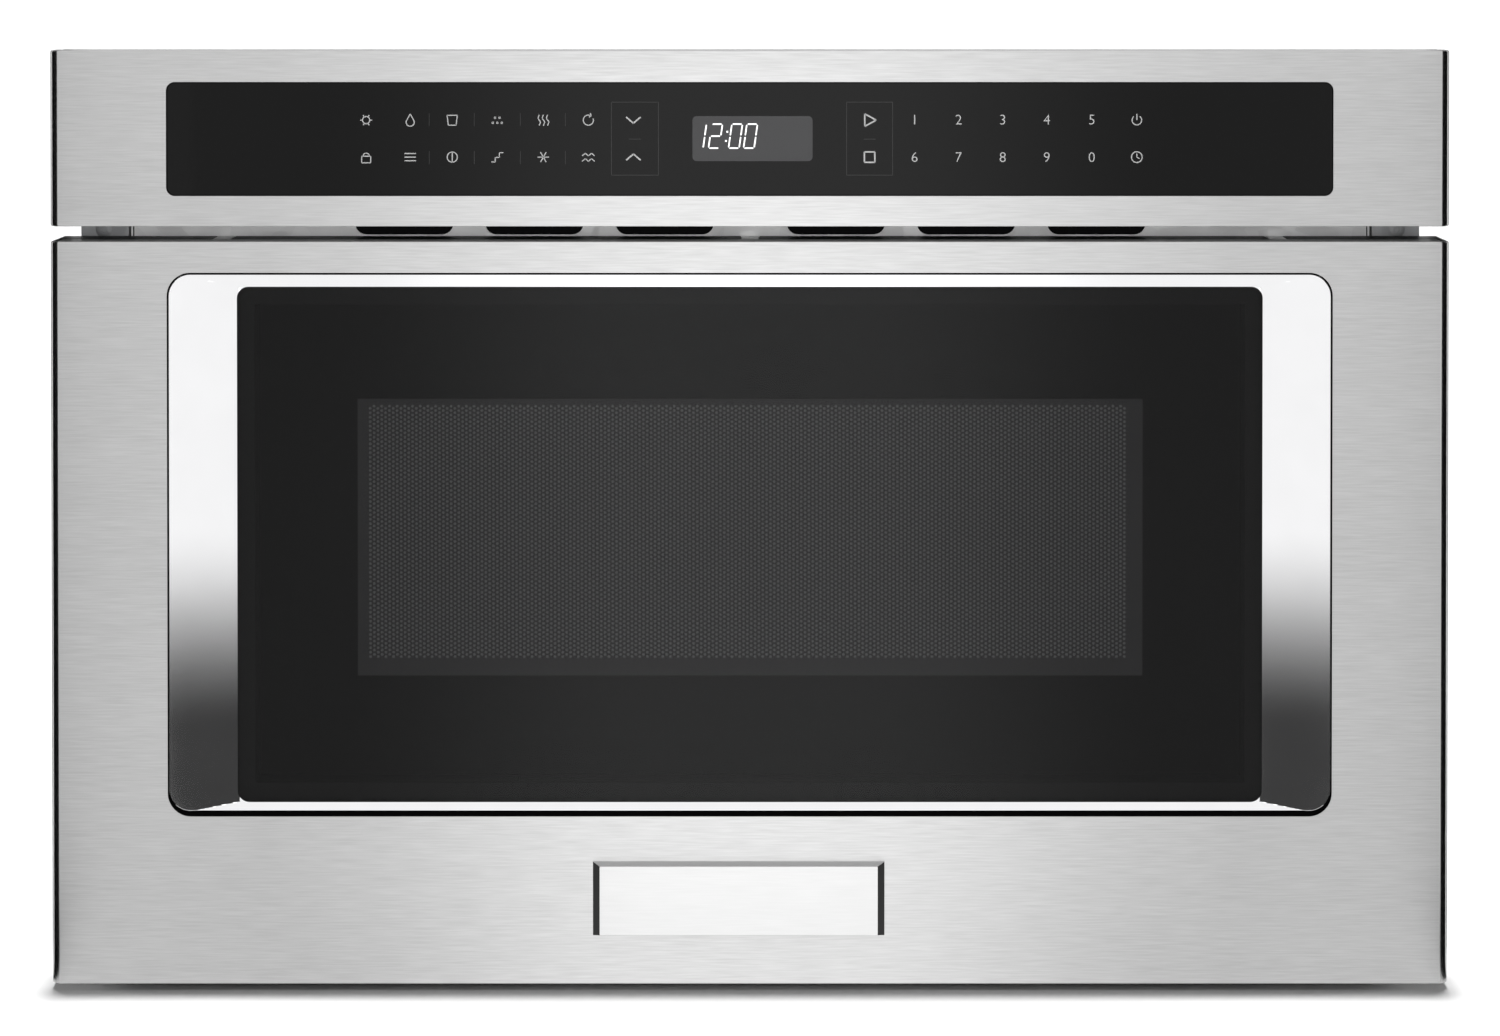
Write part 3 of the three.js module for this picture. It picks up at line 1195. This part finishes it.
function makeBlowerHousing() {
  const half = BLOWER_WIDTH / 2;
  const outside = extrude(scroll(BLOWER_WALL), 'x', -half, half);
  const inside = extrude(scroll(0), 'x', BLOWER_WALL - half, half - BLOWER_WALL);
  const mouth = block(
    BLOWER_WALL - half, half - BLOWER_WALL, 0, BLOWER_RADIUS + BLOWER_GROWTH,
    OUTLET_TOP - BLOWER_WALL, OUTLET_TOP + OVERRUN,
  );
  const inlet = bar('x', 0, 0, IMPELLER_RADIUS - 6, half - 2 * BLOWER_WALL, half + OVERRUN, 24);
  const shaftHole = bar(
    'x', 0, 0, BLOWER_SHAFT + BRACKET, -half - OVERRUN, 2 * BLOWER_WALL - half, 16,
  );
  return cut(outside, inside, mouth, inlet, shaftHole);
}

// Squirrel-cage impeller drawn round its own axis, which runs along X.
function makeImpeller() {
  const half = BLOWER_WIDTH / 2 - BLOWER_WALL - BRACKET;
  const disc = bar('x', 0, 0, IMPELLER_RADIUS, -half, BRACKET - half, 40);
  const hub = bar('x', 0, 0, BLOWER_SHAFT + FIT + BRACKET, -half, 0, 16);
  const rim = cut(
    bar('x', 0, 0, IMPELLER_RADIUS, half - BRACKET, half, 40),
    bar('x', 0, 0, IMPELLER_RADIUS - 7, half - BRACKET - OVERRUN, half + OVERRUN, 24),
  );
  const blades = Array.from({ length: IMPELLER_BLADES }, (_, k) => {
    const geometry = new THREE.BoxGeometry(2 * half - BRACKET, SHEET, 7);
    geometry.rotateX(Math.PI / 6);
    geometry.translate(0, 0, IMPELLER_RADIUS - 4);
    geometry.rotateX(k * 2 * Math.PI / IMPELLER_BLADES);
    return solidOf(geometry);
  });
  const bore = bar('x', 0, 0, BLOWER_SHAFT + FIT, -half - OVERRUN, OVERRUN, 16);
  return cut(join(disc, hub, rim, ...blades), bore);
}

function makeBlowerMotor() {
  const face = -BLOWER_WIDTH / 2 - FIT;
  return join(
    bar('x', 0, 0, BLOWER_MOTOR_RADIUS, face - BLOWER_MOTOR_LENGTH, face, 24),
    block(face - BRACKET, face, -8, 8, -BLOWER_RADIUS, BLOWER_RADIUS),
    bar('x', 0, 0, BLOWER_SHAFT, face - BITE, -BRACKET, 16),
  );
}

const BLOWER_PLACE = [BLOWER_X, BLOWER_Y, BLOWER_Z];
place(chassis, 'blower_housing', makeBlowerHousing(), greyPlastic, BLOWER_PLACE);
place(chassis, 'blower_impeller', makeImpeller(), whitePlastic, BLOWER_PLACE);
place(chassis, 'blower_motor', makeBlowerMotor(), zincSteel, BLOWER_PLACE);

// ---------------------------------------------------------------- rails

const RAIL_START = PLATE + SHEET + FIT;

function makeRailBracket(side) {
  const rear = RAIL_START + RAIL_LENGTH;
  return join(
    sideBlock(
      side, RAIL_X, RAIL_X + BRACKET, RAIL_START, rear,
      PAN_TOP, RAIL_CENTRE + RAIL_HEIGHT / 2,
    ),
    sideBlock(
      side, RAIL_X, CHASSIS_HALF - 2 * SHEET - 2 * FIT, RAIL_START, rear,
      PAN_TOP, PAN_TOP + BRACKET,
    ),
  );
}

// The moving member carries a foot that bolts to the door plate.
function makeInnerRail(side) {
  const outer = RAIL_X - 2 * RAIL_STEP;
  const half = RAIL_HEIGHT / 2 - 2 * RAIL_STEP;
  const end = PLATE_DEPTH + RAIL_START + RAIL_LENGTH - RAIL_INSET;
  const foot = sideBlock(
    side, outer - 3 * RAIL_INSET / 2, outer, DOOR_MOUNT_Y, DOOR_MOUNT_Y + BRACKET,
    RAIL_CENTRE - half, RAIL_CENTRE + half,
  );
  return join(rail(side, 2, DOOR_MOUNT_Y, end), foot);
}

MIRRORED.forEach(([name, side]) => {
  const end = RAIL_START + RAIL_LENGTH;
  place(chassis, `rail_bracket_${name}`, makeRailBracket(side), zincSteel);
  place(chassis, `outer_rail_${name}`, rail(side, 0, RAIL_START, end), zincSteel);
  place(chassis, `mid_rail_${name}`, rail(side, 1, RAIL_START, end - RAIL_INSET / 2), zincSteel);
  place(drawer, `inner_rail_${name}`, makeInnerRail(side), zincSteel);
});

// ---------------------------------------------------------------- rack and pinion drive

const PINION_Y = PLATE + PINION_SETBACK;

// Involute pinion in (y, z) round its own axis, one tooth pointing up.
function pinionShape() {
  const base = PITCH_RADIUS * Math.cos(PRESSURE_ANGLE);
  const involute = (radius) => {
    const angle = Math.acos(Math.min(1, base / radius));
    return Math.tan(angle) - angle;
  };
  const pitchHalf = Math.PI / (2 * PINION_TEETH) - BACKLASH / (2 * PITCH_RADIUS);
  const tip = PITCH_RADIUS + ADDENDUM;
  const radii = [PITCH_RADIUS - DEDENDUM, base, PITCH_RADIUS, (PITCH_RADIUS + tip) / 2, tip];
  const flank = radii.map((radius) => [
    radius, pitchHalf + involute(PITCH_RADIUS) - involute(radius),
  ]);
  const tooth = [
    ...flank.map(([radius, half]) => [radius, -half]),
    ...flank.slice().reverse(),
  ];
  const points = Array.from({ length: PINION_TEETH }, (_, k) => {
    const centre = Math.PI / 2 + k * 2 * Math.PI / PINION_TEETH;
    return tooth.map(([radius, angle]) => [
      radius * Math.cos(centre + angle), radius * Math.sin(centre + angle),
    ]);
  });
  return polygon(points.flat());
}

function makePinion() {
  return cut(
    extrude(pinionShape(), 'x', -PINION_WIDTH / 2, PINION_WIDTH / 2),
    bar('x', 0, 0, MOTOR_SHAFT + FIT, -PINION_WIDTH, PINION_WIDTH, 16),
  );
}

// Rack with its teeth down and a tooth space over the pinion's axis, and a foot at the door.
function makeRack() {
  const pitch = Math.PI * GEAR_MODULE;
  const axis = PLATE_DEPTH + PINION_Y;
  const rootZ = RACK_PITCH_Z + DEDENDUM;
  const tipZ = RACK_PITCH_Z - ADDENDUM;
  const halfPitch = pitch / 4 - BACKLASH / 2;
  const halfRoot = halfPitch + DEDENDUM * Math.tan(PRESSURE_ANGLE);
  const halfTip = halfPitch - ADDENDUM * Math.tan(PRESSURE_ANGLE);
  const count = Math.ceil(DRAWER_TRAVEL / pitch) + 4;
  const teeth = Array.from({ length: count }, (_, k) => {
    const centre = axis + (k - 1.5) * pitch;
    return [
      [centre - halfRoot, rootZ], [centre - halfTip, tipZ],
      [centre + halfTip, tipZ], [centre + halfRoot, rootZ],
    ];
  }).flat();
  const rear = axis + (count - 1) * pitch;
  const body = polygon([
    [DOOR_MOUNT_Y, RACK_TOP], [DOOR_MOUNT_Y, rootZ], ...teeth, [rear, rootZ], [rear, RACK_TOP],
  ]);
  const foot = block(
    -2 * RACK_WIDTH, 2 * RACK_WIDTH, DOOR_MOUNT_Y, DOOR_MOUNT_Y + BRACKET, rootZ, RACK_TOP,
  );
  return join(extrude(body, 'x', -RACK_WIDTH / 2, RACK_WIDTH / 2), foot);
}

// Gear motor beside the pinion, standing on the pan, with its shaft through the pinion.
function makeDriveMotor() {
  const inner = PINION_WIDTH / 2 + BRACKET;
  const shaft = bar('x', PINION_Y, PINION_CENTRE, MOTOR_SHAFT, -inner, inner + BITE, 16);
  const gearbox = block(
    inner, inner + GEARBOX_WIDTH, PINION_Y - GEARBOX_LENGTH / 3,
    PINION_Y + GEARBOX_LENGTH * 2 / 3, PAN_TOP, PINION_CENTRE + MOTOR_RADIUS,
  );
  const motor = bar(
    'x', PINION_Y + GEARBOX_LENGTH / 6, PINION_CENTRE, MOTOR_RADIUS,
    inner + GEARBOX_WIDTH - BITE, inner + GEARBOX_WIDTH + MOTOR_LENGTH, 24,
  );
  return join(shaft, gearbox, motor);
}

place(chassis, 'drive_motor', makeDriveMotor(), zincSteel);
place(chassis, 'drive_pinion', makePinion(), whitePlastic, [0, PINION_Y, PINION_CENTRE]);
place(drawer, 'drive_rack', makeRack(), whitePlastic);

// ---------------------------------------------------------------- latches and switches

// Hook in (y, z): a bar with a nose turned down at its end, on a foot at the door plate.
function makeHook(side) {
  const end = DOOR_MOUNT_Y + HOOK_REACH;
  const half = HOOK_HEIGHT / 2;
  const shape = polygon([
    [DOOR_MOUNT_Y, HOOK_Z + half], [DOOR_MOUNT_Y, HOOK_Z - half],
    [end - HOOK_HEIGHT, HOOK_Z - half], [end - HOOK_HEIGHT, HOOK_Z - HOOK_HEIGHT],
    [end - half, HOOK_Z - HOOK_HEIGHT], [end, HOOK_Z], [end, HOOK_Z + half],
  ]);
  const inner = HOOK_X - HOOK_THICKNESS / 2;
  const body = side > 0
    ? extrude(shape, 'x', inner, inner + HOOK_THICKNESS)
    : extrude(shape, 'x', -inner - HOOK_THICKNESS, -inner);
  const foot = sideBlock(
    side, inner, inner + 3 * HOOK_THICKNESS, DOOR_MOUNT_Y, DOOR_MOUNT_Y + BRACKET,
    HOOK_Z - HOOK_HEIGHT, HOOK_Z + HOOK_HEIGHT,
  );
  return join(body, foot);
}

const SWITCH_OUTER = HOOK_X - HOOK_THICKNESS / 2 - FIT - PLUNGER_REACH;
const SWITCH_INNER = SWITCH_OUTER - SWITCH_DEPTH;
const SWITCH_FRONT = CAVITY_START + SHEET + FIT + BRACKET;
const PLUNGER_Y = PANEL_DEPTH - PLATE_DEPTH + HOOK_REACH / 2;

function makeSwitchBracket(side) {
  const front = CAVITY_START + SHEET + FIT;
  const top = HOOK_Z - SWITCH_HEIGHT / 2 - FIT;
  return join(
    sideBlock(
      side, SWITCH_INNER, SWITCH_OUTER, front, front + BRACKET,
      top - 2 * SWITCH_HEIGHT, HOOK_Z + SWITCH_HEIGHT,
    ),
    sideBlock(
      side, SWITCH_INNER, SWITCH_OUTER, front, SWITCH_FRONT + FIT + SWITCH_LENGTH,
      top - BRACKET, top,
    ),
  );
}

function makeSwitch(side) {
  const front = SWITCH_FRONT + FIT;
  const body = sideBlock(
    side, SWITCH_INNER, SWITCH_OUTER, front, front + SWITCH_LENGTH,
    HOOK_Z - SWITCH_HEIGHT / 2, HOOK_Z + SWITCH_HEIGHT / 2,
  );
  const bore = bar(
    'x', PLUNGER_Y, HOOK_Z, PLUNGER_RADIUS + FIT,
    side > 0 ? SWITCH_OUTER - PLUNGER_REACH : -SWITCH_OUTER - OVERRUN,
    side > 0 ? SWITCH_OUTER + OVERRUN : -SWITCH_OUTER + PLUNGER_REACH, 12,
  );
  const terminals = [0.2, 0.5, 0.8].map((share) => sideBlock(
    side, SWITCH_INNER - 5, SWITCH_INNER + BITE, front + share * SWITCH_LENGTH - 2,
    front + share * SWITCH_LENGTH + 2, HOOK_Z - 0.5, HOOK_Z + 0.5,
  ));
  return join(cut(body, bore), ...terminals);
}

// Plunger drawn round its own axis, from inside the switch to just short of the hook.
function makePlunger(side) {
  const tip = PLUNGER_REACH;
  const root = -PLUNGER_REACH / 2;
  return side > 0
    ? bar('x', 0, 0, PLUNGER_RADIUS, root, tip, 12)
    : bar('x', 0, 0, PLUNGER_RADIUS, -tip, -root, 12);
}

const SWITCHES = [['secondary', 'left', -1], ['primary', 'right', 1]];
SWITCHES.forEach(([name, hand, side]) => {
  place(drawer, `latch_hook_${hand}`, makeHook(side), whitePlastic);
  place(chassis, `switch_bracket_${hand}`, makeSwitchBracket(side), whitePlastic);
  place(chassis, `${name}_switch`, makeSwitch(side), blackPlastic);
  place(
    chassis, `${name}_plunger`, makePlunger(side), whitePlastic,
    [side * SWITCH_OUTER, PLUNGER_Y, HOOK_Z],
  );
});

export default microwaveDrawer;
